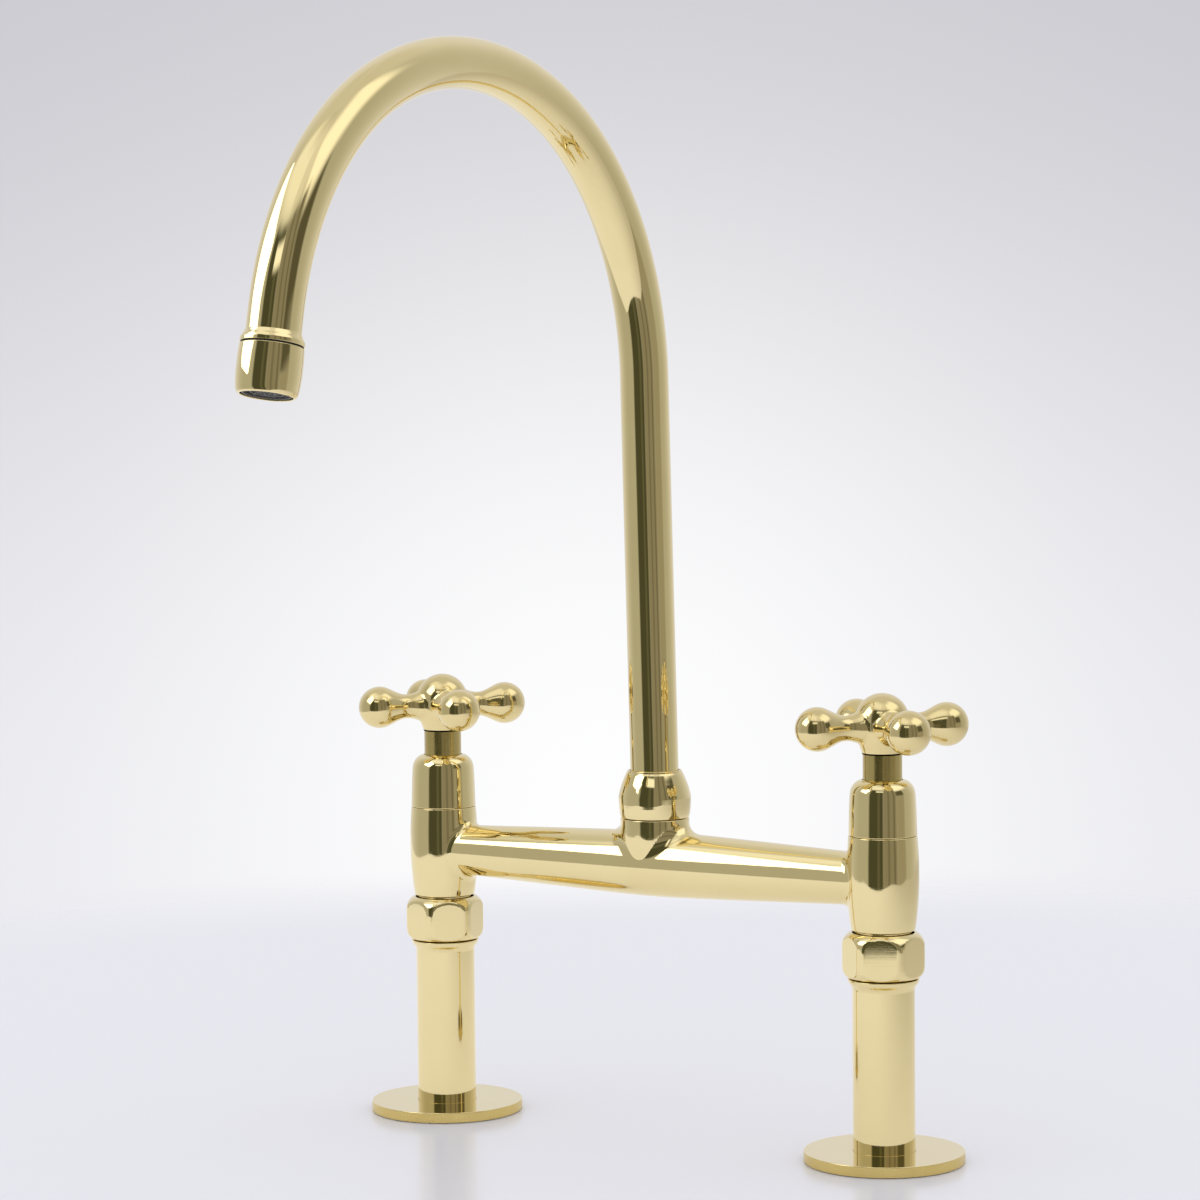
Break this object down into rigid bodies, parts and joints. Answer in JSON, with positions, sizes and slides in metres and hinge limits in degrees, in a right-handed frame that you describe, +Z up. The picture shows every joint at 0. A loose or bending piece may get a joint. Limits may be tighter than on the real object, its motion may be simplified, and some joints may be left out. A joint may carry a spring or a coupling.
{
  "type": "bridge kitchen faucet",
  "caption": "Deck-mounted bridge kitchen faucet in polished brass, with pillars, a cast bridge, cross handles and a swivelling swan-neck spout.",
  "frame": {"origin": "the middle of the footprint box at deck level, where z = 0 is the surface that both flanges stand on", "axes": "+X along the bridge from the left pillar to the right one, -Y the way the spout reaches over the sink, +Z up"},
  "size_m": [0.2652, 0.291, 0.4253],
  "materials": {
    "polished_brass": "mirror polished",
    "turned_brass": "fine turned, not polished",
    "raw_brass": "as machined",
    "steel": "stainless",
    "rubber": "matt black",
    "fibre": "red vulcanised fibre",
    "ceramic": "ground alumina",
    "nylon": "natural",
    "grey_plastic": "moulded acetal"
  },
  "bodies": {
    "body": {"left_deck_flange": "polished_brass", "left_flange_seal": "rubber", "left_pillar": "polished_brass", "left_union_nut": "polished_brass", "left_union_washer": "fibre", "left_bonnet": "polished_brass", "left_cartridge_body": "raw_brass", "left_fixed_disc": "ceramic", "left_seat_seal": "rubber", "right_deck_flange": "polished_brass", "right_flange_seal": "rubber", "right_pillar": "polished_brass", "right_union_nut": "polished_brass", "right_union_washer": "fibre", "right_bonnet": "polished_brass", "right_cartridge_body": "raw_brass", "right_fixed_disc": "ceramic", "right_seat_seal": "rubber", "bridge_body": "polished_brass", "spout_nut": "polished_brass", "spout_thrust_washer": "nylon", "spout_guide_ring": "nylon"},
    "spout": {"spout_tube": "polished_brass", "spout_spigot": "raw_brass", "spout_lower_o_ring": "rubber", "spout_upper_o_ring": "rubber", "outlet_collar": "polished_brass", "aerator_housing": "polished_brass", "aerator_washer": "rubber", "aerator_screen": "steel", "aerator_insert": "grey_plastic"},
    "left_handle": {"left_cross_handle": "polished_brass", "left_handle_screw": "steel", "left_stem_sleeve": "turned_brass", "left_spindle": "raw_brass", "left_spindle_clip": "steel", "left_spindle_o_ring": "rubber", "left_moving_disc": "ceramic"},
    "right_handle": {"right_cross_handle": "polished_brass", "right_handle_screw": "steel", "right_stem_sleeve": "turned_brass", "right_spindle": "raw_brass", "right_spindle_clip": "steel", "right_spindle_o_ring": "rubber", "right_moving_disc": "ceramic"}
  },
  "joints": [
    {"name": "spout_swivel", "type": "hinge", "parent": "body", "child": "spout", "pos_m": [0, 0.11455, 0.13], "axis": [0, 0, 1], "continuous": true},
    {"name": "left_handle_turn", "type": "hinge", "parent": "body", "child": "left_handle", "pos_m": [-0.1016, 0.11455, 0.15], "axis": [0, 0, 1], "range_deg": [0, 90]},
    {"name": "right_handle_turn", "type": "hinge", "parent": "body", "child": "right_handle", "pos_m": [0.1016, 0.11455, 0.15], "axis": [0, 0, -1], "range_deg": [0, 90]}
  ]
}
